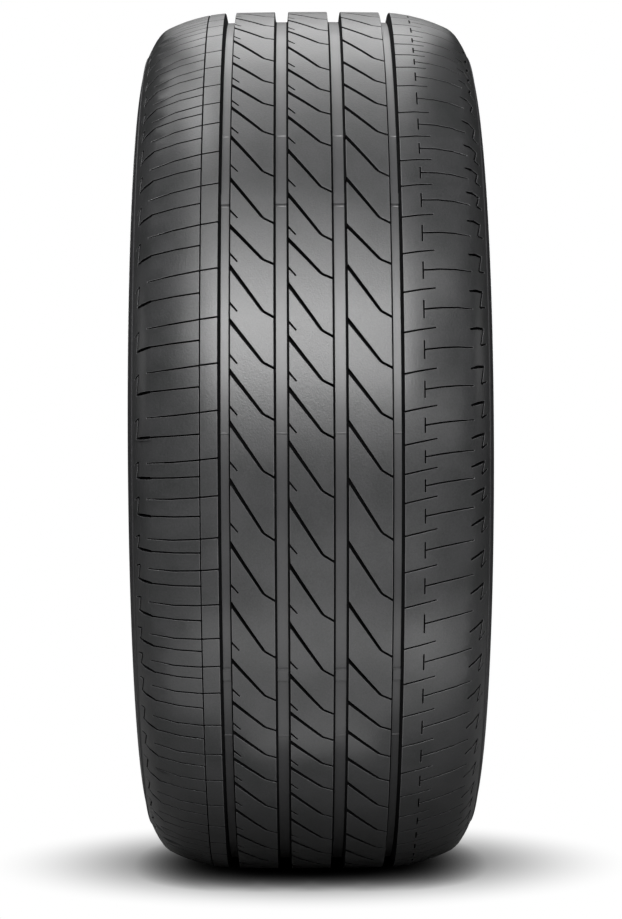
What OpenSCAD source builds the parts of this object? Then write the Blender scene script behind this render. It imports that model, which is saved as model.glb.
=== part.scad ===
// Radial car tyre for an 18 inch rim, standing on its tread.
// The wheel's axle is the Y axis, Z is up and the origin is the wheel's centre.
// The tread has four main grooves, three ribs crossed by slanted grooves, and two
// shoulders with sipes and notched corners. The shoulders have different patterns.

/* [Tyre] */
// Outer diameter over the tread
outer_d = 653.2; // [640:0.2:676]
// Width across the sidewalls where they are widest
section_w = 247.2; // [238:0.2:262]
// Width of the tread from corner to corner
tread_w = 221.6; // [214:0.2:232]
// Diameter of the bead seats on the rim that the tyre fits
rim_d = 462; // [456:0.1:468]
// How much each bead is undersized on the radius, to grip the rim
bead_grip = 0.5; // [0.2:0.1:1]
// Distance between the outer faces of the two beads
bead_span = 222; // [208:1:230]
// Width of each bead's base
bead_w = 20; // [17:0.5:24]
// Length of the flat where the tyre stands on the ground
contact_l = 62; // [50:1:80]

/* [Rubber] */
// Thickness at the middle of the tread, down to the inner liner
crown_t = 16; // [14:0.5:20]
// Thickness of the sidewall where it is widest
side_t = 7; // [5:0.5:10]

/* [Tread shape] */
// Width of the level middle of the tread
level_w = 39; // [20:1:60]
// How much lower the tread is where the shoulders start than in the middle
crown_drop = 0.55; // [0.2:0.05:2]
// Slope of the tread where a shoulder starts, in degrees
crown_slope = 2; // [1:0.1:4]
// Radius of the tread across each shoulder
shoulder_r = 120; // [100:1:140]
// Slope of the tread at the outer end of the shoulder, in degrees
shoulder_slope = 25.5; // [20:0.5:30]
// Radius of the tread's corner
corner_r = 18; // [12:1:24]
// Slope of the buttress just below the corner, in degrees
buttress_slope = 54; // [48:1:62]

/* [Sidewall] */
// Height of the widest point above the bead seat
widest_h = 31.6; // [29:0.2:38]
// Height of the rim guard's crest above the bead seat
guard_h = 22; // [20:0.5:24]
// How far the rim guard stands out past the widest point
guard_out = 0.6; // [0:0.1:2]
// Width of the rim guard's crest
guard_w = 3; // [2:0.5:4]
// Radius of the bead's heel
heel_r = 6.5; // [5:0.5:8]
// Place of the fine rib round each sidewall, 0 at the tread's corner and 1 at the widest point
line_place = 0.45; // [0.35:0.01:0.7]
// Height of that fine rib
line_h = 0.6; // [0.3:0.1:1.2]

/* [Circumferential grooves] */
// Middle of each main groove, across the tread
groove_at = [-57.3, -19.4, 19.5, 57.3]; // [-62:0.1:62]
// Width of each main groove at the top
groove_w = [8.2, 10, 10, 7.9]; // [5:0.1:12]
// Depth of the main grooves
groove_depth = 8; // [6:0.1:9]
// Lean of the groove walls, in degrees
groove_draft = 6; // [2:0.5:10]
// Radius between a groove's walls and its floor
floor_round = 1; // [0.5:0.1:1.5]
// Height of the wear bars above the groove floor
wear_bar_h = 1.6; // [1:0.1:2]
// Length of a wear bar round the tyre
wear_bar_l = 8.6; // [5:0.1:12]
// Middle of the thin groove in the left shoulder
thin_groove_at = -73.2; // [-80:0.1:-68]
// Width of the thin groove
thin_groove_w = 1.2; // [0.8:0.1:3]
// Depth of the thin groove
thin_groove_depth = 4; // [2:0.1:6]

/* [Pitches] */
// Sizes of the rib pitches round the tyre, 1 for the shortest
rib_pitches = "421244243345553111343544223124544321234543221335422355312332";
// Sizes of the left shoulder's pitches
left_pitches = "221133455444231221133344433213344543211234554222112344321123454321234332124";
// Sizes of the right shoulder's pitches
right_pitches = "1113532234444321123354444443332334554321123445432112345432123454321123455432134444";
// How much longer each size is than the one below, as a part of the shortest
pitch_step = 0.15; // [0:0.01:0.2]

/* [Slanted rib grooves] */
// Width where a slanted groove starts, at the left of its rib
slant_wide = 2; // [1.2:0.1:3]
// Width where it ends, at the right of its rib
slant_narrow = 1.5; // [0.8:0.1:2]
// Depth of the slanted grooves
slant_depth = 6.5; // [4:0.1:7.5]
// Part of the rib's width that the steep stretch crosses
slant_bend = 0.75; // [0.6:0.01:0.85]
// Part of a pitch that the steep stretch runs round the tyre
slant_run = 0.83; // [0.6:0.01:0.85]
// Part of a pitch that the shallow stretch runs round the tyre
slant_tail = 0.11; // [0.05:0.01:0.14]
// Part of a pitch by which the middle rib lags the outer two
rib_lag = 0.35; // [0.2:0.01:0.5]

/* [Shoulder sipes and notches] */
// Thickness of a sipe
sipe_w = 0.8; // [0.6:0.1:1.2]
// Depth of a sipe
sipe_depth = 4; // [3:0.1:6]
// Gap between the left shoulder's long sipes and its corner
long_sipe_gap = 2.2; // [1:0.1:6]
// Length of the right shoulder's inner sipes, from the main groove
inner_sipe_l = 21.8; // [16:0.1:26]
// Distance from the main groove to the bars that head the right shoulder's outer sipes
bar_in = 13.7; // [8:0.1:20]
// Length of each of those bars, as a part of a pitch
bar_share = 0.46; // [0.3:0.01:0.6]
// Gap between the right shoulder's outer sipes and its corner
outer_sipe_gap = 3.3; // [1:0.1:8]
// Thickness of the notches at the tread's corners
notch_w = 1.6; // [1.2:0.1:2.4]
// Depth of the notches
notch_depth = 3; // [2:0.1:4]
// How far in from its corner the left shoulder's notches start
left_notch_in = 4.8; // [2:0.1:8]
// How far in from its corner the right shoulder's notches start
right_notch_in = 5.3; // [2:0.1:8]

/* [Hidden] */
$fn = 180;
rubber = "#3b3b3c";

half_w = section_w / 2;
tread_r = outer_d / 2;
seat_r = rim_d / 2;
land_r = seat_r - bead_grip;

// How far a cutter stands proud of the rubber, and reaches into a groove beside it
clear = 2;
open_end = 1.5;
// Longest straight stretch of a sipe's floor
floor_step = 36;
// Part of the bead's base that is a cylinder, measured from the toe
land_w = 9;
toe_r = 1.5;
// How far in from the tread's corner the liner turns from the sidewall to the crown
liner_turn_in = 24;
// Half widths of the fine rib at its foot and at its crest
line_foot = 1.2;
line_crest = 0.5;
// How far the fine rib and the wear bars are sunk in the rubber that carries them
root = 1;

// Angles of the first pitches and of the first wear bar, in degrees
first_rib = -61.05;
first_left = -58.17;
first_right = -63.39;
first_wear_bar = -30.45;
wear_bars = 6;

// Where the short sipes, the bars and the right notches stand in a pitch, as parts of it
short_sipe_place = 0.5;
bar_place = 0.4;
right_notch_place = 0.8;

// Lean of each kind of sipe and notch round the tyre, in degrees
long_sipe_lean = 4.9;
short_sipe_lean = 3;
left_notch_lean = 5;
inner_sipe_lean = 11.9;
outer_sipe_lean = 7.1;
right_notch_lean = 20;

// Curves, as points across the tread and their distance from the axle

// An arc that goes on from a point, from one slope down to a steeper one
function arc(from, r, slope_0, slope_1, n) = [
    for (i = [1:n])
        let (slope = slope_0 + (slope_1 - slope_0) * i / n)
            from + r * [sin(slope) - sin(slope_0), cos(slope) - cos(slope_0)]
];
// A curve that leaves p0 towards p1 and reaches p3 from p2. Below, p1 and p2 are written as
// the curve's ends plus how far each end is pulled.
function curve(p0, p1, p2, p3, n) = [
    for (i = [1:n])
        let (t = i / n, u = 1 - t)
            u * u * u * p0 + 3 * u * u * t * p1 + 3 * u * t * t * p2 + t * t * t * p3
];
function last(points) = points[len(points) - 1];
function mirrored(points) = [for (i = [len(points) - 1:-1:0]) [-points[i].x, points[i].y]];

// The tread from its middle to its corner
level_end = [level_w / 2, tread_r];
crown_half = tread_w / 2 - shoulder_r * (sin(shoulder_slope) - sin(crown_slope))
    - corner_r * (sin(buttress_slope) - sin(shoulder_slope));
crown_end = [crown_half, tread_r - crown_drop];
shoulder = arc(crown_end, shoulder_r, crown_slope, shoulder_slope, 3);
corner = arc(last(shoulder), corner_r, shoulder_slope, buttress_slope, 2);
tread_edge = last(corner);

// Distance of the tread's top from the axle, at a place across the tread
function level_top(a) =
    tread_r - crown_drop * max(0, a - level_end.x) / (crown_end.x - level_end.x);
function arc_top(a, from, r, slope) =
    let (x = a - from.x + r * sin(slope)) from.y - r * cos(slope) + sqrt(r * r - x * x);
function tread_top(a) =
    abs(a) < crown_half ? level_top(abs(a))
    : abs(a) < last(shoulder).x ? arc_top(abs(a), crown_end, shoulder_r, crown_slope)
    : arc_top(min(abs(a), tread_edge.x), last(shoulder), corner_r, shoulder_slope);

// The sidewall from the tread's corner to its widest point
widest = [half_w, seat_r + widest_h];
buttress_pull = 12 * [cos(buttress_slope), -sin(buttress_slope)];
function buttress_curve(n) =
    curve(tread_edge, tread_edge + buttress_pull, widest + [0, 24], widest, n);
buttress = buttress_curve(6);

// The rim guard, a rib that shields the wheel's flange
guard_top = [half_w + guard_out, seat_r + guard_h + guard_w / 2];
guard_low = guard_top - [0, guard_w];
guard_root = guard_top + [-2.2, 3];
guard = concat(
    curve(widest, widest - [0, 2], guard_root + [0.4, 1.5], guard_root, 4),
    curve(guard_root, guard_root + [0.2, -1.2], guard_top + [-0.8, 0.4], guard_top, 3),
    [guard_low]
);

// The bead, from the flange face round the heel to the toe
bead_out = bead_span / 2;
bead_in = bead_out - bead_w;
heel = [bead_out - heel_r, seat_r + heel_r];
flange_face = [bead_out, heel.y + 3];
bead = concat(
    curve(guard_low, guard_low + [-1, -3.4], flange_face + [1.5, 5.4], flange_face, 7),
    [for (i = [0:5]) heel + heel_r * [cos(18 * i), -sin(18 * i)]],
    [[bead_in + land_w, land_r], [bead_in + toe_r, land_r], [bead_in, land_r + toe_r]]
);

// The inside, from the toe up to the middle of the crown
inner_widest = [half_w - side_t, widest.y + 2];
liner_turn = tread_w / 2 - liner_turn_in;
inner_shoulder = [liner_turn, tread_top(liner_turn) - crown_t - 1];
inner_crown = [0, tread_r - crown_t];
toe = last(bead);
inside = concat(
    curve(toe, toe + [2, 12], inner_widest - [0, 15], inner_widest, 7),
    curve(inner_widest, inner_widest + [0, 20], inner_shoulder + [16, -3], inner_shoulder, 7),
    curve(inner_shoulder, inner_shoulder - [25, -2.4], inner_crown + [30, 0], inner_crown, 4)
);

half_outline = concat([level_end, crown_end], shoulder, corner, buttress, guard, bead, inside);
outline = concat(half_outline, [for (p = mirrored(half_outline)) if (p.x < 0) p]);

// Rings, drawn as sections with the distance from the axle along X

module section(points) {
    polygon([for (p = points) [p.y, p.x]]);
}

// A groove's section: leaning walls and a floor with rounded corners
module groove_section(at, width, depth) {
    floor_half = width / 2 - depth * tan(groove_draft);
    round = min(floor_round, floor_half / 2);
    side = [[width / 2, clear], [width / 2, 0], [floor_half + 0.1, round - depth],
        [floor_half - 0.3 * round, 0.3 * round - depth], [floor_half - round, -depth]];
    section([for (p = concat(side, mirrored(side))) p + [at, tread_top(at)]]);
}

module thin_groove_section() {
    half = thin_groove_w / 2;
    top = tread_top(thin_groove_at);
    section([for (p = [[-half, clear], [half, clear], [half / 2, -thin_groove_depth],
        [-half / 2, -thin_groove_depth]]) p + [thin_groove_at, top]]);
}

// The fine rib moulded round the sidewall, drawn across the top of the buttress
module fine_line(side) {
    steps = 100;
    wall = buttress_curve(steps);
    i = round(steps * line_place);
    down = (wall[i] - wall[i - 1]) / norm(wall[i] - wall[i - 1]);
    out = [-down.y, down.x];
    shape = [[-line_foot, -root], [-line_crest, line_h], [line_crest, line_h], [line_foot, -root]];
    ridge = [for (p = shape) wall[i] + p.x * down + p.y * out];
    section([for (p = ridge) [side * p.x, p.y]]);
}

module carcass_section() {
    difference() {
        union() {
            section(outline);
            fine_line(1);
            fine_line(-1);
        }
        for (i = [0:len(groove_at) - 1])
            groove_section(groove_at[i], groove_w[i], groove_depth);
        thin_groove_section();
    }
}

// A band of rubber just above the groove floors, from the first groove to the last
module wear_bar_section() {
    steps = 6;
    reach = last(groove_at) + last(groove_w) / 2;
    places = [for (i = [-steps:steps]) reach * i / steps];
    floors = [for (a = places) [a, tread_top(a) - groove_depth]];
    section(concat(
        [for (p = floors) p + [0, wear_bar_h]],
        [for (i = [len(floors) - 1:-1:0]) floors[i] - [0, root]]
    ));
}

module carcass() {
    bar_angle = wear_bar_l / tread_r * 180 / PI;
    rotate_extrude() carcass_section();
    for (i = [0:wear_bars - 1])
        rotate([0, 0, first_wear_bar - bar_angle / 2 + 360 / wear_bars * i])
            rotate_extrude(angle = bar_angle) wear_bar_section();
}

// Pitches: every row of the pattern steps round the tyre by these

function pitch_size(code) = 1 + pitch_step * (ord(code) - ord("1"));
function pitch_sizes(codes) = [for (i = [0:len(codes) - 1]) pitch_size(codes[i])];
function sum_to(list, n, i = 0) = i >= n ? 0 : list[i] + sum_to(list, n, i + 1);

// Draws its children once per pitch, with $pitch set to the pitch's length
module each_pitch(codes, first) {
    sizes = pitch_sizes(codes);
    unit = 360 / sum_to(sizes, len(sizes));
    for (i = [0:len(sizes) - 1])
        rotate([0, 0, first + unit * sum_to(sizes, i)]) {
            $pitch = unit * sizes[i] * PI / 180 * tread_r;
            children();
        }
}

// Moves round the tyre by a length measured along the tread
module along(length) {
    rotate([0, 0, length / tread_r * 180 / PI]) children();
}

// A line of varying width, as the outline of a polygon
function side_of(line, i) =
    let (d = line[min(i + 1, len(line) - 1)] - line[max(i - 1, 0)]) [-d.y, d.x] / norm(d);
function stroke(line, widths) = concat(
    [for (i = [0:len(line) - 1]) line[i] + side_of(line, i) * widths[i] / 2],
    [for (i = [len(line) - 1:-1:0]) line[i] - side_of(line, i) * widths[i] / 2]
);

// Cuts an outline drawn on the tread, round it along X and across it along Y
module cut_tread(depth) {
    rotate([90, 0, 90])
        translate([0, 0, tread_r - depth])
            linear_extrude(depth + clear) children();
}

// A groove that crosses a rib steeply and then bends towards the next main groove
module slanted_groove(left, right) {
    steep = [slant_run * $pitch, slant_bend * (right - left)];
    end = [(slant_run + slant_tail) * $pitch, right - left];
    dir_in = steep / norm(steep);
    dir_out = (end - steep) / norm(end - steep);
    line = [-open_end * dir_in, steep, end + open_end * dir_out];
    widths = [slant_wide, slant_narrow, slant_narrow];
    along(end.x / 2)
        cut_tread(slant_depth)
            translate([-end.x / 2, left])
                polygon(stroke(line, widths));
}

// The cuts across one rib, a part of a pitch behind the first rib's
module rib_cuts(i, lag) {
    each_pitch(rib_pitches, first_rib)
        along(lag * $pitch)
            slanted_groove(groove_at[i] + groove_w[i] / 2, groove_at[i + 1] - groove_w[i + 1] / 2);
}

// A flat blade that cuts from one place across the shoulder to another, to a
// depth below the top, and leans round the tyre by an angle about its start
module blade(from, to, thickness, depth, lean) {
    steps = ceil(abs(to - from) / floor_step);
    places = [for (i = [0:steps]) from + (to - from) * i / steps];
    floor_line = [for (a = places) [a - from, tread_top(a) - depth]];
    top = tread_r + clear;
    translate([0, 0, from])
        rotate([lean, 0, 0])
            rotate([90, 0, 0])
                linear_extrude(thickness, center = true)
                    section(concat([[0, top]], floor_line, [[to - from, top]]));
}

// Long sipes from the main groove, with short ones between them that end in notches
module left_shoulder_cuts() {
    corner_at = tread_w / 2;
    notch_at = corner_at - left_notch_in;
    start = groove_at[0] - groove_w[0] / 2 + open_end / 2;
    each_pitch(left_pitches, first_left) {
        blade(start, long_sipe_gap - corner_at, sipe_w, sipe_depth, long_sipe_lean);
        along(short_sipe_place * $pitch) {
            blade(thin_groove_at, -notch_at - open_end, sipe_w, sipe_depth, short_sipe_lean);
            along((notch_at + thin_groove_at) * tan(short_sipe_lean))
                blade(-notch_at, -tread_edge.x - clear, notch_w, notch_depth, left_notch_lean);
        }
    }
}

// Inner sipes from the main groove, outer ones headed by bars, and notches
module right_shoulder_cuts() {
    corner_at = tread_w / 2;
    notch_at = corner_at - right_notch_in;
    edge = last(groove_at) + last(groove_w) / 2;
    bar_at = edge + bar_in;
    each_pitch(right_pitches, first_right) {
        blade(edge - open_end / 2, edge + inner_sipe_l, sipe_w, sipe_depth, inner_sipe_lean);
        along(bar_place * $pitch) {
            blade(bar_at, corner_at - outer_sipe_gap, sipe_w, sipe_depth, outer_sipe_lean);
            translate([tread_top(bar_at) + (clear - sipe_depth) / 2, 0, bar_at])
                cube([sipe_depth + clear, bar_share * $pitch, sipe_w], center = true);
        }
        along(right_notch_place * $pitch)
            blade(notch_at, tread_edge.x + clear, notch_w, notch_depth, right_notch_lean);
    }
}

// The flat where the tyre rests
module ground() {
    flat_h = sqrt(tread_r * tread_r - contact_l * contact_l / 4);
    translate([-contact_l, -section_w, -2 * flat_h])
        cube([2 * contact_l, 2 * section_w, flat_h]);
}

module tyre() {
    color(rubber)
        difference() {
            rotate([-90, 0, 0]) carcass();
            rotate([-90, 0, 0]) {
                rib_cuts(0, 0);
                rib_cuts(1, rib_lag);
                rib_cuts(2, 0);
                left_shoulder_cuts();
                right_shoulder_cuts();
            }
            ground();
        }
}

tyre();
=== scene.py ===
"""A car tyre of size 245/40 R18, standing on its tread on a white studio floor.

The axle is the Y axis, Z is up and the photographed tread faces +X. Lengths are in
millimetres until a mesh is made, then in metres.

The tread is first drawn flat, as a map: the way round the tyre by the way across its skin.
Slots and grooves are outlines on that map with a depth, and the map is then wrapped round.
"""

import math

import bpy
import numpy as np
from mathutils import Matrix, Vector, kdtree
from mathutils.geometry import delaunay_2d_cdt


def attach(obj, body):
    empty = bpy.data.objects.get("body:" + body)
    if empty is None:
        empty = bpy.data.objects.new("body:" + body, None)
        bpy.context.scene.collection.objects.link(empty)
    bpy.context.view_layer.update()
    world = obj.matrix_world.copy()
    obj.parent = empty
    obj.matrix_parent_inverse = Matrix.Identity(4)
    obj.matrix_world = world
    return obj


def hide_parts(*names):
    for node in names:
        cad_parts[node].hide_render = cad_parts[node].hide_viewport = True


MM = 0.001

# Sizes of the tyre, as in the part's own source
OUTER_D = 653.2
SECTION_W = 247.2
TREAD_W = 221.6
RIM_D = 462.0
BEAD_GRIP = 0.5
BEAD_SPAN = 222.0
BEAD_W = 20.0
CONTACT_L = 62.0
CROWN_T = 16.0
SIDE_T = 7.0
LEVEL_W = 39.0
CROWN_DROP = 0.55
CROWN_SLOPE = 2.0
SHOULDER_R = 120.0
SHOULDER_SLOPE = 25.5
CORNER_R = 18.0
BUTTRESS_SLOPE = 54.0
WIDEST_H = 31.6
GUARD_H = 22.0
GUARD_OUT = 0.6
GUARD_W = 3.0
HEEL_R = 6.5
LAND_W = 9.0
TOE_R = 1.5
LINER_TURN_IN = 24.0
LINE_PLACE = 0.45
LINE_H = 0.6

GROOVE_AT = (-57.3, -19.4, 19.5, 57.3)
GROOVE_W = (8.2, 10.0, 10.0, 7.9)
GROOVE_DEPTH = 8.0
GROOVE_DRAFT = 6.0
WEAR_BAR_H = 1.6
WEAR_BAR_L = 8.6
WEAR_BARS = 6
THIN_GROOVE_AT = -73.2
THIN_GROOVE_W = 1.2
THIN_GROOVE_DEPTH = 4.0
SLANT_DEPTH = 6.5
SIPE_DEPTH = 4.0

# Places and lengths in the pattern, as parts of a rib's width and then as parts of a pitch
SLANT_BEND = 0.75
SLANT_RUN = 0.83
SLANT_TAIL = 0.11
RIB_LAG = 0.35
NICK_PLACE = 0.65
SHORT_SIPE_PLACE = 0.5
LEFT_STROKE = 0.46
BAR_PLACE = 0.4
BAR_SHARE = 0.46
RIGHT_NOTCH_PLACE = 0.8
RIGHT_STROKE = 0.47

# The pattern's finer shape, which the part's source leaves out or keeps simpler
GROOVE_EASE = 0.4
THIN_GROOVE_EASE = 0.3
FLOOR_ROUND = 0.6
SLANT_WIDTHS = (2.7, 2.0, 1.8, 1.7, 1.7, 1.6)
SLANT_EASE = 0.18
SIPE_EASE = 0.14
SIPE_LEAN = 0.1
NOTCH_DEPTH = 2.6
TICK_DEPTH = 1.4

# How far slots and sipes reach into the groove beside them
SLOT_REACH = 1.5
SIPE_REACH = 1.2

# Depths from which a place counts as cut, as past its eased edge and as a main groove's floor
SKIN_DEPTH = 0.01
EASED_DEPTH = 0.5
FLOOR_DEPTH = GROOVE_DEPTH - WEAR_BAR_H - 0.7
# How far loose points of the map stay from a slot
LOOSE_GAP = 1.2

# Each row of the pattern has its own run of pitch sizes, and the angle of its first pitch
RIB_PITCHES = "421244243345553111343544223124544321234543221335422355312332"
LEFT_PITCHES = "221133455444231221133344433213344543211234554222112344321123454321234332124"
RIGHT_PITCHES = "1113532234444321123354444443332334554321123445432112345432123454321123455432134444"
PITCH_STEP = 0.15
FIRST_RIB = -61.05
FIRST_LEFT = -58.17
FIRST_RIGHT = -63.39
FIRST_WEAR_BAR = -30.45

# The mould closes in equal segments, which leave a low ridge across each groove where they meet
MOULD_SEGMENTS = 9
FIRST_SEGMENT = -40.8
SEAM_H = 0.45
SEAM_L = 0.5
# How far round the tyre the upper end of a wear bar or a seam rises
STEEP_END = 0.4

TREAD_R = OUTER_D / 2
ROUND = 2 * math.pi * TREAD_R
HALF_W = SECTION_W / 2
SEAT_R = RIM_D / 2
LAND_R = SEAT_R - BEAD_GRIP

# How near the tyre has to be to darken the floor by ambient occlusion, and how far the painted
# shadow goes, in metres
SHADOW_REACH = 0.03
SHADOW_AHEAD = 0.229
SHADOW_ACROSS = 0.252
# Part of that way at which the painted shadow starts to turn white, and how fast it does
SHADOW_CORE = 0.2
SHADOW_POWER = 1.18
# Half the width of the floor, in metres
FLOOR_HALF = 12
# What the room gives the tyre from every side, where the camera sees strength 1
ROOM_LIGHT = 0.035

# The camera, fitted to the photograph: metres and degrees, then pixels
CAMERA_REACH = 2.113
CAMERA_TURN = 0.3
CAMERA_ROLL = -0.25
PHOTO_H_PX = 919
FOCAL_PX = 2736
RIGHT_SHIFT_PX = 2.2
UP_SHIFT_PX = -19.5

# Softboxes: degrees to the right of the view, degrees above the floor in front, and watts.
# From OVERHEAD degrees up, a lamp goes straight across instead of round the tyre.
LAMP_REACH = 2.2
LAMP_W = 1.1
LAMP_H = 0.4
OVERHEAD = 85
ARCH = (
    ("front_lowest", 0, 5, 3.5),
    ("front_low", 0, 17, 15.5),
    ("front_middle", 0, 30, 16.3),
    ("front_high", 0, 43, 6.2),
    ("front_top", 0, 70, 0.9),
    ("left_low", -17, 25, 8.2),
    ("left_middle", -17, 40, 6.8),
    ("left_high", -17, 55, 5.3),
    ("left_key", -17, 88, 7.6),
    ("right_low", 30, 5, 2.9),
    ("right_high", 30, 35, 3.8),
    ("overhead", 0, 85, 3.0),
    ("rear_overhead", 0, 100, 4.9),
    ("rear_overhead_left", -30, 106, 3.0),
    ("rear_high", 0, 115, 6.5),
    ("rear_middle", 0, 130, 4.8),
    ("rear_low", 0, 145, 1.4),
    ("side_left", -100, 10, 0.9),
    ("side_right", 100, 10, 0.9),
    ("back", 180, 8, 7.0),
)
# A tall box close behind the tyre, which hides it from the front: metres and watts
BEHIND_REACH = 0.9
BEHIND_W = 0.24
BEHIND_H = 0.6
BEHIND_WATTS = 5.5
# Panels close over the floor that shine up: their height, then how far ahead and to the right each
# is, its length and width, all in metres, and its watts
PANEL_Z = -0.3
FLOOR_PANELS = (
    ("floor_nearest", 0.33, 0.02, 0.08, 0.5, 0.11),
    ("floor_near", 0.43, 0.02, 0.1, 0.42, 0.23),
    ("floor_near_right", 0.40, 0.25, 0.1, 0.3, 0.08),
    ("floor_middle", 0.50, 0.0, 0.5, 0.1, 0.20),
    ("floor_far", 0.75, 0.10, 0.1, 0.5, 0.40),
    ("floor_behind", -0.50, 0.0, 0.24, 0.42, 0.50),
)

# Steps round the tyre and along each buttress, and how far the flat map goes on past its two ends
STATIONS = 168
BUTTRESS_STEPS = 26
OVERLAP = 60.0

# How near two points of the map are when they are one: as a band is drawn, and where two bands meet
DRAWN_POINT = 1e-6
SAME_POINT = 2e-3
# How near a line its points are
ON_LINE = 1e-4
# How far past a slot's triangle a place still counts as in it, as a part of the triangle
PAST_TRIANGLE = 1e-3


# The section


def sin(degrees):
    return math.sin(math.radians(degrees))


def cos(degrees):
    return math.cos(math.radians(degrees))


def arc(start, radius, slope_0, slope_1, steps):
    """An arc that goes on from a point, from one slope down to a steeper one."""
    slopes = [slope_0 + (slope_1 - slope_0) * i / steps for i in range(1, steps + 1)]
    return [
        (start[0] + radius * (sin(t) - sin(slope_0)), start[1] + radius * (cos(t) - cos(slope_0)))
        for t in slopes
    ]


def curve(p0, p1, p2, p3, steps):
    """A curve that leaves p0 towards p1 and reaches p3 from p2."""
    t = np.linspace(0, 1, steps + 1)[1:, None]
    u = 1 - t
    points = u**3 * np.array(p0) + 3 * u * u * t * np.array(p1)
    points = points + 3 * u * t * t * np.array(p2) + t**3 * np.array(p3)
    return [tuple(p) for p in points]


def moved(point, across, out):
    return (point[0] + across, point[1] + out)


def unit(vector):
    """The vector at length 1."""
    return vector / np.hypot(*vector)


def tread_half():
    """The tread from its middle to its corner."""
    crown_half = (
        TREAD_W / 2
        - SHOULDER_R * (sin(SHOULDER_SLOPE) - sin(CROWN_SLOPE))
        - CORNER_R * (sin(BUTTRESS_SLOPE) - sin(SHOULDER_SLOPE))
    )
    level = [(0, TREAD_R), (LEVEL_W / 2, TREAD_R), (crown_half, TREAD_R - CROWN_DROP)]
    shoulder = arc(level[-1], SHOULDER_R, CROWN_SLOPE, SHOULDER_SLOPE, 14)
    return level + shoulder + arc(shoulder[-1], CORNER_R, SHOULDER_SLOPE, BUTTRESS_SLOPE, 6)


def fine_rib(before, place):
    """The low ridge across the buttress at a place on it, given the point before."""
    along = unit(np.subtract(place, before))
    out = np.array((-along[1], along[0]))
    return [
        tuple(np.array(place) + x * along + h * LINE_H * out)
        for x, h in ((-0.9, 0.0), (-0.55, 0.75), (-0.2, 1.0), (0.2, 1.0), (0.55, 0.75), (0.9, 0.0))
    ]


def rim_guard(widest):
    """From the widest point down over the guard that shields the wheel's flange."""
    top = (HALF_W + GUARD_OUT, SEAT_R + GUARD_H + GUARD_W / 2)
    root = moved(top, -2.2, 3)
    outline = curve(widest, moved(widest, 0, -2), moved(root, 0.4, 1.5), root, 6)
    outline += curve(root, moved(root, 0.2, -1.2), moved(top, -0.8, 0.4), top, 5)
    return outline + [moved(top, 0, -GUARD_W)]


def bead(guard_low):
    """From the guard down the flange face, round the heel and along the base to the toe."""
    out = BEAD_SPAN / 2
    toe = out - BEAD_W
    heel = (out - HEEL_R, SEAT_R + HEEL_R)
    face = (out, heel[1] + 3)
    outline = curve(guard_low, moved(guard_low, -1, -3.4), moved(face, 1.5, 5.4), face, 7)
    outline += [moved(heel, HEEL_R * cos(15 * i), -HEEL_R * sin(15 * i)) for i in range(7)]
    return outline + [(toe + LAND_W, LAND_R), (toe + TOE_R, LAND_R), (toe, LAND_R + TOE_R)]


def inner_side(toe, top, widest):
    """From the bead's toe up the inside to the middle of the crown."""
    wide = (HALF_W - SIDE_T, widest[1] + 2)
    turn = TREAD_W / 2 - LINER_TURN_IN
    top_there = np.interp(turn, [p[0] for p in top], [p[1] for p in top])
    shoulder = (turn, top_there - CROWN_T - 1)
    crown = (0, TREAD_R - CROWN_T)
    outline = curve(toe, moved(toe, 2, 12), moved(wide, 0, -15), wide, 6)
    outline += curve(wide, moved(wide, 0, 20), moved(shoulder, 16, -3), shoulder, 7)
    return outline + curve(shoulder, moved(shoulder, -25, -2.4), moved(crown, 30, 0), crown, 4)


def right_half():
    """The outline of the right half of the section.

    Returns the tread as far as the pattern reaches, the plain outside down to the bead's toe,
    and the inside up to the crown.
    """
    top = tread_half()
    edge, widest = top[-1], (HALF_W, SEAT_R + WIDEST_H)
    leave = moved(edge, 12 * cos(BUTTRESS_SLOPE), -12 * sin(BUTTRESS_SLOPE))
    buttress = curve(edge, leave, moved(widest, 0, 24), widest, BUTTRESS_STEPS)
    line_at = round(BUTTRESS_STEPS * LINE_PLACE) - 1
    pattern = top + buttress[: line_at - 1]
    outside = fine_rib(buttress[line_at - 1], buttress[line_at]) + buttress[line_at + 2 :]
    outside += rim_guard(widest)
    outside += bead(outside[-1])
    return pattern, outside, inner_side(outside[-1], top, widest)


PATTERN, OUTSIDE, INSIDE = right_half()
SKIN = np.array(PATTERN)
SKIN_LENGTH = np.concatenate(([0], np.cumsum(np.hypot(*np.diff(SKIN, axis=0).T))))
EDGE = SKIN_LENGTH[-1]
_tangent = np.gradient(SKIN, SKIN_LENGTH, axis=0)
SKIN_OUT = np.stack((-_tangent[:, 1], _tangent[:, 0]), axis=1)
SKIN_OUT[0] = (0, 1)


def skin(across):
    """How far along the skin a place across the tyre is, from the middle, left negative."""
    across = np.asarray(across, float)
    return np.sign(across) * np.interp(np.abs(across), SKIN[:, 0], SKIN_LENGTH)


def outward(u):
    """The skin's outward direction, across and away from the axle."""
    side, far = np.sign(u), np.abs(u)
    across = side * np.interp(far, SKIN_LENGTH, SKIN_OUT[:, 0])
    away = np.interp(far, SKIN_LENGTH, SKIN_OUT[:, 1])
    size = np.hypot(across, away)
    return across / size, away / size


def wrapped(s, u, depth):
    """Points of the flat map wrapped round the tyre and set on the ground, in metres."""
    far = np.abs(u)
    out_across, out_away = outward(u)
    top = np.interp(far, SKIN_LENGTH, SKIN[:, 1])
    across = np.sign(u) * np.interp(far, SKIN_LENGTH, SKIN[:, 0]) - depth * out_across
    radius = top - depth * out_away
    angle = s / TREAD_R
    ground = -math.sqrt(TREAD_R**2 - CONTACT_L**2 / 4)
    pressed = np.maximum(0, ground + top * np.sin(angle))
    return np.stack(
        (radius * np.cos(angle), across, -radius * np.sin(angle) + pressed), axis=1
    ) * MM


# Slots, drawn on the flat map


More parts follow.
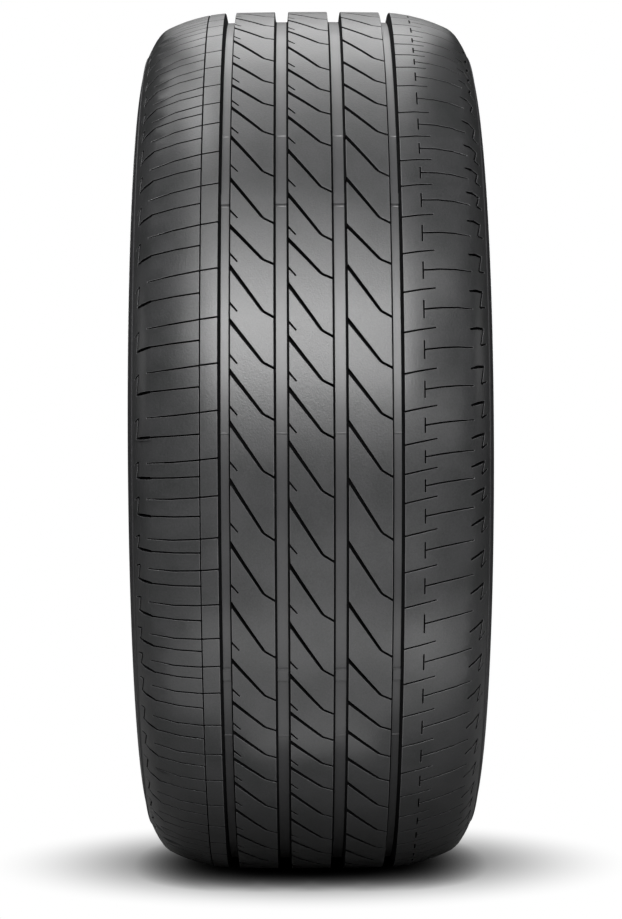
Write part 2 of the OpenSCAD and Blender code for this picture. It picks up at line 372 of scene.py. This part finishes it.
def finer(line, widths, step=13.0):
    """The same line with points close enough to follow the tyre's curve, and the width at each."""
    points, sizes = [line[0]], [widths[0]]
    for a, b, w0, w1 in zip(line, line[1:], widths, widths[1:]):
        for t in np.linspace(0, 1, max(1, round(math.dist(a, b) / step)) + 1)[1:]:
            points.append(np.add(a, t * np.subtract(b, a)))
            sizes.append(w0 + t * (w1 - w0))
    return points, sizes


class Slot:
    """A slot cut along a line, as closed outlines one inside the other, each with its depth."""

    def __init__(self, line, widths, depth, ease=0.2, lean=0.12):
        line, widths = finer(line, widths)
        line = np.array([(s, float(skin(a))) for s, a in line])
        steps = np.diff(line, axis=0)
        ways = steps / np.hypot(*steps.T)[:, None]
        joined = np.vstack((ways[:1], ways[:-1] + ways[1:], ways[-1:]))
        joined /= np.hypot(*joined.T)[:, None]
        mitre = 1 / np.sum(joined * np.vstack((ways, ways[-1:])), axis=1)[:, None]
        sides = np.stack((-joined[:, 1], joined[:, 0]), axis=1) * mitre
        half = np.array(widths, float)[:, None] / 2
        self.rings, self.depths = [], []
        for grow, deep in ((ease, 0.0), (0.0, ease), (-lean, depth)):
            centre = line.copy()
            centre[0] -= ways[0] * grow
            centre[-1] += ways[-1] * grow
            reach = sides * (half + grow)
            self.rings.append(np.vstack((centre + reach, (centre - reach)[::-1])))
            self.depths.append(deep)
        self.line, self.reach = line, float(half.max())

    def at(self, shift):
        """The same slot further round the tyre."""
        other = Slot.__new__(Slot)
        other.rings = [ring + (shift, 0) for ring in self.rings]
        other.depths = self.depths
        other.line, other.reach = self.line + (shift, 0), self.reach
        return other

    def triangles(self):
        """The slot's own walls and floor: corners on the map, and the depth at each."""
        corners, depths = [], []
        count = len(self.rings[0])
        for outer, inner, d0, d1 in zip(self.rings, self.rings[1:], self.depths, self.depths[1:]):
            for i in range(count):
                j = (i + 1) % count
                corners += [(outer[i], outer[j], inner[j]), (outer[i], inner[j], inner[i])]
                depths += [(d0, d0, d1), (d0, d1, d1)]
        floor, deepest = self.rings[-1], self.depths[-1]
        for i in range(count // 2 - 1):
            j = count - 1 - i
            corners += [(floor[i], floor[i + 1], floor[j - 1]), (floor[i], floor[j - 1], floor[j])]
            depths += [(deepest,) * 3] * 2
        return np.array(corners), np.array(depths)

    def depth_at(self, points):
        """The slot's depth at points of the map, nought outside it."""
        corners, depths = self.triangles()
        a, b, c = corners[None, :, 0], corners[None, :, 1], corners[None, :, 2]
        p = points[:, None]
        ab, ac, ap = b - a, c - a, p - a
        area = ab[..., 0] * ac[..., 1] - ab[..., 1] * ac[..., 0]
        area[np.abs(area) < 1e-12] = 1e-12
        v = (ap[..., 0] * ac[..., 1] - ap[..., 1] * ac[..., 0]) / area
        w = (ab[..., 0] * ap[..., 1] - ab[..., 1] * ap[..., 0]) / area
        inside = (v > -PAST_TRIANGLE) & (w > -PAST_TRIANGLE) & (v + w < 1 + PAST_TRIANGLE)
        depth = depths[:, 0] * (1 - v - w) + depths[:, 1] * v + depths[:, 2] * w
        return np.where(inside, depth, 0).max(axis=1)


def pitches(codes, first):
    """Where each pitch of a row starts round the tyre, and its length."""
    sizes = 1 + PITCH_STEP * (np.array([int(c) for c in codes]) - 1)
    lengths = sizes * ROUND / sizes.sum()
    starts = math.radians(first) * TREAD_R + np.concatenate(([0], np.cumsum(lengths)[:-1]))
    return zip(starts, lengths)


def rounded(start, bend, end, cut, steps=4):
    """A line with its one bend rounded off, that far before and after it."""
    start, bend, end = map(np.array, (start, bend, end))
    before = bend + cut * unit(start - bend)
    after = bend + cut * unit(end - bend)
    t = np.linspace(0, 1, steps)[:, None]
    turn = (1 - t) ** 2 * before + 2 * t * (1 - t) * bend + t * t * after
    return np.vstack((start, turn, end))


def rib_slots(rib, lag, nicked):
    """A slanted groove in each pitch of a rib, and on two of the ribs a short nick after it."""
    left = GROOVE_AT[rib] + GROOVE_W[rib] / 2
    right = GROOVE_AT[rib + 1] - GROOVE_W[rib + 1] / 2
    width = right - left
    slots = []
    for start, pitch in pitches(RIB_PITCHES, FIRST_RIB):
        s = start + lag * pitch
        bend = (s + SLANT_RUN * pitch, left + SLANT_BEND * width)
        end = (s + (SLANT_RUN + SLANT_TAIL) * pitch, right)
        into = unit(np.subtract(bend, (s, left)))
        out = unit(np.subtract(end, bend))
        line = rounded((s, left) - SLOT_REACH * into, bend, end + SLOT_REACH * out, cut=1.6)
        slots.append(Slot(line, SLANT_WIDTHS, SLANT_DEPTH, ease=SLANT_EASE))
        if nicked:
            s += NICK_PLACE * pitch
            nick = [(s - 0.8, left - SLOT_REACH), (s + 6.8, left + 4.8)]
            slots.append(Slot(nick, (1.5, 1.1), SIPE_DEPTH, ease=0.15, lean=SIPE_LEAN))
    return slots


def sipe(line, widths):
    return Slot(line, widths, SIPE_DEPTH, ease=SIPE_EASE, lean=SIPE_LEAN)


def left_slots():
    """The left shoulder: long sipes, and between them short ones that end in notches."""
    edge = GROOVE_AT[0] - GROOVE_W[0] / 2
    slots = []
    for s, pitch in pitches(LEFT_PITCHES, FIRST_LEFT):
        start = (s - 0.1, edge + SIPE_REACH)
        long_sipe = [start, (s + 1.7, -76), (s + 3.2, -92), (s + 4.1, -108.6)]
        slots.append(sipe(long_sipe, (1.15, 1.15, 1.15, 0.9)))
        s += SHORT_SIPE_PLACE * pitch
        short = [(s, THIN_GROOVE_AT), (s + 1.1, -90), (s + 1.9, -106), (s + 2.1, -107.5)]
        slots.append(sipe(short, (1.15, 1.15, 1.2, 1.2)))
        notch = [(s + 1.9, -106), (s + 2.4, -112.5), (s + 2.7, -115.8)]
        slots.append(Slot(notch, (1.9, 2.3, 1.4), NOTCH_DEPTH, lean=0.25))
        rise = LEFT_STROKE * pitch
        foot = s + 2.7
        stroke = [(foot, -115.4), (foot - rise, -114.2)]
        slots.append(Slot(stroke, (1.5, 1.5), 1.6, lean=0.4))
        tick = [(foot - rise, -114.2), (foot + 2.7 - rise, -117.2)]
        slots.append(Slot(tick, (1.2, 0.8), TICK_DEPTH, lean=0.3))
    return slots


def right_slots():
    """The right shoulder: inner sipes, outer ones headed by bars, and notches."""
    edge = GROOVE_AT[3] + GROOVE_W[3] / 2
    slots = []
    for start, pitch in pitches(RIGHT_PITCHES, FIRST_RIGHT):
        s = start
        inner = [(s + 0.2, edge - SIPE_REACH), (s - 2.4, 72), (s - 4.5, 82.7)]
        slots.append(sipe(inner, (1.25, 1.2, 1.0)))
        s = start + BAR_PLACE * pitch
        half_bar = 0.5 * BAR_SHARE * pitch
        bar = [(s - half_bar, 74.6), (s + half_bar, 74.6)]
        slots.append(Slot(bar, (1.1, 1.1), SIPE_DEPTH, ease=0.16, lean=SIPE_LEAN))
        outer = [(s, 74.6), (s - 1.9, 86), (s - 3.2, 97), (s - 4.0, 107.5)]
        slots.append(sipe(outer, (1.2, 1.2, 1.15, 0.9)))
        s = start + RIGHT_NOTCH_PLACE * pitch
        notch = [(s, 105.5), (s - 2.0, 110.5), (s - 3.5, 115.2)]
        slots.append(Slot(notch, (1.6, 2.1, 1.9), NOTCH_DEPTH, lean=0.25))
        drop = RIGHT_STROKE * pitch
        stroke = [(s - 3.5, 114.8), (s - 3.5 + drop, 112.9)]
        slots.append(Slot(stroke, (1.9, 1.9), 1.8, lean=0.45))
        tick = [(s - 3.5 + drop, 112.9), (s - 6.5 + drop, 117)]
        slots.append(Slot(tick, (1.7, 1.0), TICK_DEPTH, lean=0.3))
    return slots


# Circumferential grooves


def groove_profile(width, depth, ease):
    """Distances from a groove's middle, and the depth at each: eased edge, wall, round floor."""
    half = width / 2
    floor = half - depth * math.tan(math.radians(GROOVE_DRAFT))
    soft = min(FLOOR_ROUND, floor / 2)
    return (
        (0, floor - soft, floor + 0.1, half - 0.05, half + 0.3 * ease, half + ease),
        (depth, depth, depth - soft, 1.1 * ease, 0.3 * ease, 0),
    )


GROOVES = [
    (float(skin(a)), *groove_profile(w, GROOVE_DEPTH, GROOVE_EASE)) for a, w in zip(GROOVE_AT, GROOVE_W)
]
THIN_WALLS = groove_profile(THIN_GROOVE_W - 0.4, THIN_GROOVE_DEPTH, THIN_GROOVE_EASE)
THIN = (float(skin(THIN_GROOVE_AT)), *THIN_WALLS)


def raised_places(first, count, length, *slope):
    """What rises from the groove floors at even steps round the tyre: places and heights.

    The top is one length long. Its upper end is steep and its lower end follows slope, which has
    the reach past the end and the height there.
    """
    height = slope[0][1]
    upper = -0.5 * length
    steps = [upper - STEEP_END, upper, *(reach - upper for reach, _ in slope)]
    heights = [0, height, *(high for _, high in slope)]
    for i in range(count):
        yield (math.radians(first + 360 / count * i) * TREAD_R) % ROUND + np.array(steps), heights


RAISED = [
    *raised_places(FIRST_WEAR_BAR, WEAR_BARS, WEAR_BAR_L, (0, WEAR_BAR_H), (0.4, 0.6), (1.5, 0)),
    *raised_places(FIRST_SEGMENT, MOULD_SEGMENTS, SEAM_L, (0, SEAM_H), (0.7, 0)),
]


def groove_depth(points):
    """The depth of the nearest circumferential groove, less where something rises from its floor."""
    depth = np.zeros(len(points))
    raised = sum(np.interp(points[:, 0], places, heights) for places, heights in RAISED)
    for middle, offsets, depths in GROOVES:
        here = np.interp(np.abs(points[:, 1] - middle), offsets, depths)
        depth = np.maximum(depth, np.minimum(here, GROOVE_DEPTH - raised))
    return np.maximum(depth, np.interp(np.abs(points[:, 1] - THIN[0]), THIN[1], THIN[2]))


# The flat map as triangles


def loose_points(rows, grid, slots):
    """Points on rows round the tyre, clear of the slots, that keep the triangles even."""
    loose = np.array([(s, u) for u in rows for s in grid])
    keep = np.ones(len(loose), bool)
    for slot in slots:
        margin = slot.reach + 2 * LOOSE_GAP
        low, high = slot.line.min(axis=0) - margin, slot.line.max(axis=0) + margin
        near = np.flatnonzero(np.all((loose > low) & (loose < high), axis=1) & keep)
        for a, b in zip(slot.line, slot.line[1:]):
            t = np.clip((loose[near] - a) @ (b - a) / np.dot(b - a, b - a), 0, 1)
            gap = np.hypot(*(loose[near] - a - t[:, None] * (b - a)).T)
            keep[near[gap < slot.reach + LOOSE_GAP]] = False
    return loose[keep]


def cut_depth(flat, slots):
    """How deep each point of the map lies in a groove or a slot."""
    depth = groove_depth(flat)
    order = np.argsort(flat[:, 0])
    ranked = flat[order, 0]
    for slot in slots:
        low, high = slot.rings[0].min(axis=0) - ON_LINE, slot.rings[0].max(axis=0) + ON_LINE
        near = order[np.searchsorted(ranked, low[0]) : np.searchsorted(ranked, high[0])]
        near = near[(flat[near, 1] > low[1]) & (flat[near, 1] < high[1])]
        if len(near):
            depth[near] = np.maximum(depth[near], slot.depth_at(flat[near]))
    depth[depth < SKIN_DEPTH] = 0
    return depth


def band(left, right, slots, rows):
    """Triangles of the map between two lines round the tyre. rows are places for loose points."""
    slots = [slot.at(shift * ROUND) for slot in slots for shift in (-1, 0, 1)]
    slots = [
        slot for slot in slots
        if slot.rings[0][:, 0].max() > -OVERLAP / 2 and slot.rings[0][:, 0].min() < ROUND + OVERLAP / 2
    ]
    points, edges = [], []

    def draw(line, closed=False):
        first = len(points)
        points.extend(Vector((float(x), float(y))) for x, y in line)
        edges.extend((i, i + 1) for i in range(first, len(points) - 1))
        if closed:
            edges.append((len(points) - 1, first))

    grid = np.arange(STATIONS + 1) * ROUND / STATIONS
    raised_lines = np.concatenate([places for places, _ in RAISED])
    stops = np.unique(np.concatenate((grid, raised_lines)))

    def draw_round(u, stops):
        draw([(-OVERLAP, u), *((s, u) for s in stops), (ROUND + OVERLAP, u)])

    for border in (left, right):
        draw_round(border, grid if abs(border) > EDGE - 1 else stops)
    for seam in (0, ROUND):
        draw([(seam, left), (seam, right)])
    for slot in slots:
        for ring in slot.rings:
            draw(ring, closed=True)
    for middle, offsets, _ in GROOVES + [THIN]:
        for u in {middle + side * x for x in offsets for side in (-1, 1)}:
            if left + ON_LINE < u < right - ON_LINE:
                draw_round(u, stops)
        if middle in (left, right):
            reach = offsets[-1] if middle == left else -offsets[-1]
            for s in raised_lines:
                draw([(s, middle), (s, middle + reach)])

    points.extend(Vector(map(float, p)) for p in loose_points(rows, grid, slots))

    flat, _, triangles, *_ = delaunay_2d_cdt(points, edges, [], 0, DRAWN_POINT)
    flat, triangles = np.array([tuple(p) for p in flat]), np.array(triangles)
    middle = flat[triangles].mean(axis=1)[:, 0]
    triangles = triangles[(middle > 0) & (middle < ROUND)]
    used, triangles = np.unique(triangles, return_inverse=True)
    flat = flat[used]
    return flat, triangles.reshape(-1, 3), cut_depth(flat, slots)


def with_shared_points(flat, faces, depth, borders):
    """The map with its two ends joined, and each point that two bands share made one."""
    flat[np.abs(flat[:, 0] - ROUND) < ON_LINE, 0] = 0
    shared = np.abs(flat[:, 0]) < ON_LINE
    for u in borders:
        shared |= np.abs(flat[:, 1] - u) < ON_LINE
    shared = np.flatnonzero(shared)
    tree = kdtree.KDTree(len(shared))
    for i in shared:
        tree.insert((*flat[i], 0), int(i))
    tree.balance()
    same = np.arange(len(flat))
    for i in shared:
        same[i] = min(index for _, index, _ in tree.find_range((*flat[i], 0), SAME_POINT))
    faces = same[faces]
    real = (faces[:, 0] != faces[:, 1]) & (faces[:, 1] != faces[:, 2]) & (faces[:, 0] != faces[:, 2])
    used, faces = np.unique(faces[real], return_inverse=True)
    return flat[used], faces.reshape(-1, 3), depth[used]


def joined_bands():
    """All the bands of the tread as one map: points, triangles and depths."""
    borders = [-EDGE] + [g[0] for g in GROOVES] + [EDGE]
    shoulder_rows = skin(np.array([67, 78, 84, 90, 95, 100, 104, 107, 110, 113]))
    plans = [
        (left_slots(), -shoulder_rows),
        (rib_slots(0, 0, True), skin(np.array([-46, -38, -30]))),
        (rib_slots(1, RIB_LAG, True), skin(np.array([-8, 0, 8]))),
        (rib_slots(2, 0, False), skin(np.array([30, 38, 46]))),
        (right_slots(), shoulder_rows),
    ]
    flats, faces, depths, count = [], [], [], 0
    for left, right, (slots, rows) in zip(borders, borders[1:], plans):
        flat, triangles, depth = band(left, right, slots, rows)
        flats.append(flat)
        faces.append(triangles + count)
        depths.append(depth)
        count += len(flat)
    return with_shared_points(np.vstack(flats), np.vstack(faces), np.concatenate(depths), borders)


# Colours and finishes

# Size in mm of the patches by which a finish varies, and how much its roughness does
PATCH = 26
SHEEN_SPREAD = 0.015


def linear(colour):
    """An sRGB hex colour as linear red, green, blue and alpha."""
    channels = [int(colour[i : i + 2], 16) / 255 for i in (1, 3, 5)]
    return [c / 12.92 if c <= 0.04045 else ((c + 0.055) / 1.055) ** 2.4 for c in channels] + [1.0]


def add(tree, kind, feeds=(), **settings):
    """Adds a node. feeds gives its inputs, by name or number, as values or as outputs to link."""
    node = tree.nodes.new(kind)
    for name, value in settings.items():
        setattr(node, name, value)
    for name, value in dict(feeds).items():
        if isinstance(value, bpy.types.NodeSocket):
            tree.links.new(value, node.inputs[name])
        else:
            node.inputs[name].default_value = value
    return node


def new_material(name):
    material = bpy.data.materials.new(name)
    material.use_nodes = True
    material.node_tree.nodes.clear()
    return material, material.node_tree


def rubber(name, dark, light, roughness, grain, relief, ior=1.5):
    """Black rubber straight from a mould: a mottled colour and a fine grain.

    grain is the size of the grain in mm and relief its height in mm.
    """
    material, tree = new_material(name)
    place = add(tree, "ShaderNodeTexCoord").outputs["Object"]
    cloud = add(tree, "ShaderNodeTexNoise", {"Vector": place, "Scale": 1 / (PATCH * MM), "Detail": 3.0})
    speck = add(
        tree, "ShaderNodeTexNoise", {"Vector": place, "Scale": 1 / (grain * MM), "Detail": 2.0}
    )
    both = add(
        tree, "ShaderNodeMath", {0: cloud.outputs["Fac"], 1: speck.outputs["Fac"]}, operation="ADD"
    )
    mottle = {"Value": both.outputs[0], "From Min": 0.7, "From Max": 1.3}
    tone = add(tree, "ShaderNodeMapRange", {**mottle, "To Min": 0.0, "To Max": 1.0})
    colour = add(
        tree,
        "ShaderNodeMix",
        {"Factor": tone.outputs[0], "A": linear(dark), "B": linear(light)},
        data_type="RGBA",
    )
    sheen = add(
        tree,
        "ShaderNodeMapRange",
        {**mottle, "To Min": roughness - SHEEN_SPREAD, "To Max": roughness + SHEEN_SPREAD},
    )
    bump = add(
        tree,
        "ShaderNodeBump",
        {"Height": speck.outputs["Fac"], "Distance": relief * MM, "Strength": 1.0},
    )
    shader = add(
        tree,
        "ShaderNodeBsdfPrincipled",
        {
            "Base Color": colour.outputs["Result"],
            "Roughness": sheen.outputs[0],
            "Normal": bump.outputs["Normal"],
            "IOR": ior,
        },
    )
    add(tree, "ShaderNodeOutputMaterial", {"Surface": shader.outputs[0]})
    return material


# Tread rubber keeps the fine blasted grain of the mould, which makes its shine broad and soft
moulded_tread = rubber("moulded_tread_rubber", "#292a2a", "#363637", 0.3, 1.2, 0.09)
# The mould's groove blades are polished, so the rubber between the ribs is smoother; it is also
# painted paler than the tread, as painted light that lifts the shade in the grooves
polished_groove_painted_light = rubber("polished_groove_painted_light_rubber", "#353536", "#3b3b3c", 0.31, 1.4, 0.03)
# The walls of slots and grooves meet no light but what their mouths let in: they are painted
# near black, as painted shade, and made rough and dull
painted_shade_slot_wall = rubber("painted_shade_slot_wall_rubber", "#070708", "#0b0b0c", 0.75, 2.0, 0.02, ior=1.2)
# Edges round over as the tyre comes out of the mould; their faces are painted paler, as a painted
# highlight that draws a thin line round each block
painted_edge_highlight = rubber("painted_edge_highlight_rubber", "#4e4e4f", "#565657", 0.35, 1.1, 0.01)
# Sidewall rubber is softer and carries more wax, which gives it a satin look
satin_sidewall = rubber("satin_sidewall_rubber", "#2b2b2c", "#333334", 0.42, 1.6, 0.03)
# The airtight butyl liner is pressed by a bladder and looks dull
butyl_liner = rubber("butyl_liner", "#252526", "#2f2f30", 0.6, 3.0, 0.08)

FINISHES = (moulded_tread, polished_groove_painted_light, satin_sidewall, butyl_liner, painted_shade_slot_wall, painted_edge_highlight)
TREAD, GROOVE, SIDEWALL, LINER, SLOT_WALL, EDGE_HIGHLIGHT = range(len(FINISHES))


# The tyre

# Where the surface turns by more than these degrees, its shading breaks
SHARP_FROM = 50


def side_rows():
    """The plain outline from the right edge of the pattern, round the inside, to the left one."""
    right = [(a, r, "outside") for a, r in OUTSIDE] + [(a, r, "inside") for a, r in INSIDE]
    return right + [(-a, r, kind) for a, r, kind in right[-2::-1]]


def face_finishes(flat, faces, depth):
    """Which of the tread's materials each triangle of the map has, by where it is and how deep."""
    shallow, deep = depth[faces].min(axis=1), depth[faces].max(axis=1)
    middle = flat[faces].mean(axis=1)[:, 1]
    # Groove floors take the polished rubber that is painted paler, as painted light
    in_floor = np.zeros(len(faces), bool)
    for centre, offsets, depths in GROOVES:
        in_floor |= np.abs(middle - centre) < offsets[1]
    in_floor &= shallow > FLOOR_DEPTH
    # Faces of the eased edges take the paler colour of a painted highlight
    on_edge = (shallow < SKIN_DEPTH) & (deep < EASED_DEPTH)
    # Deeper cut faces, the walls of slots and grooves, take the near black of painted shade
    return np.select([deep < SKIN_DEPTH, in_floor, on_edge], [TREAD, GROOVE, EDGE_HIGHLIGHT], SLOT_WALL)


def edge_points(flat, u):
    """The points along one edge of the pattern, in order round the tyre."""
    found = np.flatnonzero(np.abs(flat[:, 1] - u) < ON_LINE)
    assert len(found) == STATIONS
    return found[np.argsort(flat[found, 0])]


def plain_sides(right_edge, left_edge, count):
    """The rest of the skin, joined to the edges of the pattern: points, quads and their finishes.

    count is how many points the pattern has.
    """
    rows = side_rows()
    angles = np.arange(STATIONS) * 2 * math.pi / STATIONS
    points, rings = [], [right_edge]
    for across, radius, _ in rows:
        ring = (radius * np.cos(angles), np.full(STATIONS, across), -radius * np.sin(angles))
        points.append(np.stack(ring, axis=1) * MM)
        rings.append(np.arange(count, count + STATIONS))
        count += STATIONS
    rings.append(left_edge)
    quads, finishes = [], []
    for k, (near, far) in enumerate(zip(rings, rings[1:])):
        quads.append(np.stack((near, np.roll(near, -1), np.roll(far, -1), far), axis=1))
        kinds = [row[2] for row in rows[max(k - 1, 0) : k + 1]]
        finishes += [LINER if "inside" in kinds else SIDEWALL] * STATIONS
    return np.vstack(points), np.vstack(quads), finishes


def facing_out(points, faces, tested):
    """The faces, all turned over if the tested ones among them face the axle."""
    corners = points[tested]
    normals = np.cross(corners[:, 1] - corners[:, 0], corners[:, 2] - corners[:, 0])
    away = corners.mean(axis=1) * (1, 0, 1)
    return faces[:, ::-1] if (normals * away).sum() < 0 else faces


def shade_as_section(mesh, flat, faces, depth, finish):
    """Shades the skin and the level groove floors as the smooth section, not as the triangles."""
    shading = np.zeros(len(mesh.loops) * 3)
    mesh.corner_normals.foreach_get("vector", shading)
    shading = shading.reshape(-1, 3)
    corner_points = np.zeros(len(mesh.loops), np.int32)
    mesh.loops.foreach_get("vertex_index", corner_points)
    level_floor = (finish == GROOVE) & (np.ptp(depth[faces], axis=1) < SKIN_DEPTH)
    smooth = np.zeros(len(corner_points), bool)
    smooth[: 3 * len(faces)] = np.repeat(level_floor, 3)
    on_map = corner_points < len(flat)
    smooth[on_map] |= depth[corner_points[on_map]] == 0
    at = flat[corner_points[smooth]]
    across, away = outward(at[:, 1])
    angle = at[:, 0] / TREAD_R
    shading[smooth] = np.stack((away * np.cos(angle), across, -away * np.sin(angle)), axis=1)
    mesh.normals_split_custom_set(shading.tolist())


def make_tyre():
    """The tyre as one closed mesh: the tread from its map, then the plain sides and the inside."""
    flat, tread, depth = joined_bands()
    finish = face_finishes(flat, tread, depth)
    points = wrapped(flat[:, 0], flat[:, 1], depth)
    edges = edge_points(flat, EDGE), edge_points(flat, -EDGE)
    side_points, sides, side_finish = plain_sides(*edges, len(points))
    points = np.vstack((points, side_points))
    tread = facing_out(points, tread, tread)
    sides = facing_out(points, sides, sides[:1])

    mesh = bpy.data.meshes.new("tyre")
    mesh.from_pydata(points.tolist(), [], tread.tolist() + sides.tolist())
    for material in FINISHES:
        mesh.materials.append(material)
    finishes = np.concatenate((finish, side_finish)).astype(np.int32)
    mesh.polygons.foreach_set("material_index", finishes)
    mesh.shade_smooth()
    mesh.set_sharp_from_angle(angle=math.radians(SHARP_FROM))
    shade_as_section(mesh, flat, tread, depth, finish)

    tyre = bpy.data.objects.new("moulded_tyre", mesh)
    bpy.context.scene.collection.objects.link(tyre)
    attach(tyre, "root")
    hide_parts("tyre")


# The studio


def make_floor():
    """A floor that the camera sees as white, with a painted soft shadow about the tyre's foot.

    Other rays meet grey paint, so that the floor throws little light back up.
    """
    ground = -math.sqrt(TREAD_R**2 - CONTACT_L**2 / 4) * MM
    mesh = bpy.data.meshes.new("floor")
    corners = [(x * FLOOR_HALF, y * FLOOR_HALF, ground) for x, y in ((-1, -1), (1, -1), (1, 1), (-1, 1))]
    mesh.from_pydata(corners, [], [(0, 1, 2, 3)])
    material, tree = new_material("painted_studio_floor")
    place = add(tree, "ShaderNodeTexCoord").outputs["Object"]
    # The painted shadow: the white goes dark over an ellipse about the tyre's foot, and darker still
    # where ambient occlusion finds the tyre near
    apart = add(
        tree,
        "ShaderNodeVectorMath",
        {0: place, 1: (1 / SHADOW_AHEAD, 1 / SHADOW_ACROSS, 0)},
        operation="MULTIPLY",
    )
    apart = add(tree, "ShaderNodeVectorMath", {0: apart.outputs[0]}, operation="LENGTH")
    painted_shadow = add(
        tree,
        "ShaderNodeMapRange",
        {"Value": apart.outputs["Value"], "From Min": SHADOW_CORE, "From Max": 1.0},
        interpolation_type="SMOOTHSTEP",
    )
    open_sky = add(tree, "ShaderNodeAmbientOcclusion", {"Distance": SHADOW_REACH}, samples=16)
    painted_shadow = add(tree, "ShaderNodeMath", {0: painted_shadow.outputs[0], 1: SHADOW_POWER}, operation="POWER")
    shade = add(
        tree, "ShaderNodeMath", {0: painted_shadow.outputs[0], 1: open_sky.outputs["AO"]}, operation="MULTIPLY"
    )
    white = add(tree, "ShaderNodeEmission", {"Color": (1, 1, 1, 1), "Strength": shade.outputs[0]})
    paint = add(tree, "ShaderNodeBsdfDiffuse", {"Color": linear("#6c6c6c")})
    rays = add(tree, "ShaderNodeLightPath")
    shader = add(
        tree,
        "ShaderNodeMixShader",
        {0: rays.outputs["Is Camera Ray"], 1: paint.outputs[0], 2: white.outputs[0]},
    )
    add(tree, "ShaderNodeOutputMaterial", {"Surface": shader.outputs[0]})
    mesh.materials.append(material)
    floor = bpy.data.objects.new("studio_floor", mesh)
    bpy.context.scene.collection.objects.link(floor)


def make_world():
    """Even grey light all round, and a white backdrop for the camera."""
    world = bpy.data.worlds.new("studio")
    world.use_nodes = True
    tree = world.node_tree
    tree.nodes.clear()
    rays = add(tree, "ShaderNodeLightPath")
    strength = add(
        tree,
        "ShaderNodeMapRange",
        {"Value": rays.outputs["Is Camera Ray"], "To Min": ROOM_LIGHT, "To Max": 1.0},
    )
    light = add(
        tree, "ShaderNodeBackground", {"Color": (1, 1, 1, 1), "Strength": strength.outputs[0]}
    )
    add(tree, "ShaderNodeOutputWorld", {"Surface": light.outputs[0]})
    bpy.context.scene.world = world


def facing(way):
    """The turn that points a lamp or the camera that way, with its top up."""
    return Vector(way).to_track_quat("-Z", "Y")


def softbox(name, place, turned, width, height, watts):
    lamp = bpy.data.lights.new(name, "AREA")
    lamp.shape = "RECTANGLE"
    lamp.size, lamp.size_y, lamp.energy = width, height, watts
    holder = bpy.data.objects.new(name, lamp)
    holder.location = place
    holder.rotation_euler = turned
    holder.visible_camera = False
    bpy.context.scene.collection.objects.link(holder)


def make_lamps():
    """Softboxes in an arch over the tyre and at its sides and back, and panels on the floor."""
    for name, sideways, height, watts in ARCH:
        ahead, across = cos(height) * cos(sideways), cos(height) * sin(sideways)
        if height >= OVERHEAD:
            ahead, across = cos(height), sin(sideways)
        place = (LAMP_REACH * ahead, LAMP_REACH * across, LAMP_REACH * sin(height))
        softbox(name, place, facing(-Vector(place)).to_euler(), LAMP_W, LAMP_H, watts)
    behind = (-BEHIND_REACH, 0, 0)
    softbox("behind", behind, facing((1, 0, 0)).to_euler(), BEHIND_W, BEHIND_H, BEHIND_WATTS)
    upward = (math.pi, 0, 0)
    for name, ahead, across, length, width, watts in FLOOR_PANELS:
        softbox(name, (ahead, across, PANEL_Z), upward, length, width, watts)


def make_camera():
    """The photograph's view: level with the axle, on +X, a hair to the left."""
    camera_data = bpy.data.cameras.new("camera")
    camera_data.lens = FOCAL_PX / PHOTO_H_PX * camera_data.sensor_width
    camera_data.shift_x = RIGHT_SHIFT_PX / PHOTO_H_PX
    camera_data.shift_y = UP_SHIFT_PX / PHOTO_H_PX
    camera = bpy.data.objects.new("camera", camera_data)
    place = CAMERA_REACH * Vector((cos(CAMERA_TURN), -sin(CAMERA_TURN), 0))
    turned = facing(-place).to_matrix().to_4x4()
    roll = Matrix.Rotation(math.radians(CAMERA_ROLL), 4, "Z")
    camera.matrix_world = Matrix.Translation(place) @ turned @ roll
    bpy.context.scene.collection.objects.link(camera)
    bpy.context.scene.camera = camera


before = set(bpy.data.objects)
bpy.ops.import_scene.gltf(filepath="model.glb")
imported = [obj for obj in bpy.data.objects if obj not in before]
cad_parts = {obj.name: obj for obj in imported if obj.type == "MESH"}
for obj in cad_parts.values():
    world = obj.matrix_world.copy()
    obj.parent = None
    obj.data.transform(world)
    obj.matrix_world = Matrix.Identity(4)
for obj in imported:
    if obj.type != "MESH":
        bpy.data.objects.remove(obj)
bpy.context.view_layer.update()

make_camera()
make_tyre()
make_floor()
make_world()
make_lamps()

scene = bpy.context.scene
scene.view_settings.view_transform = "Standard"
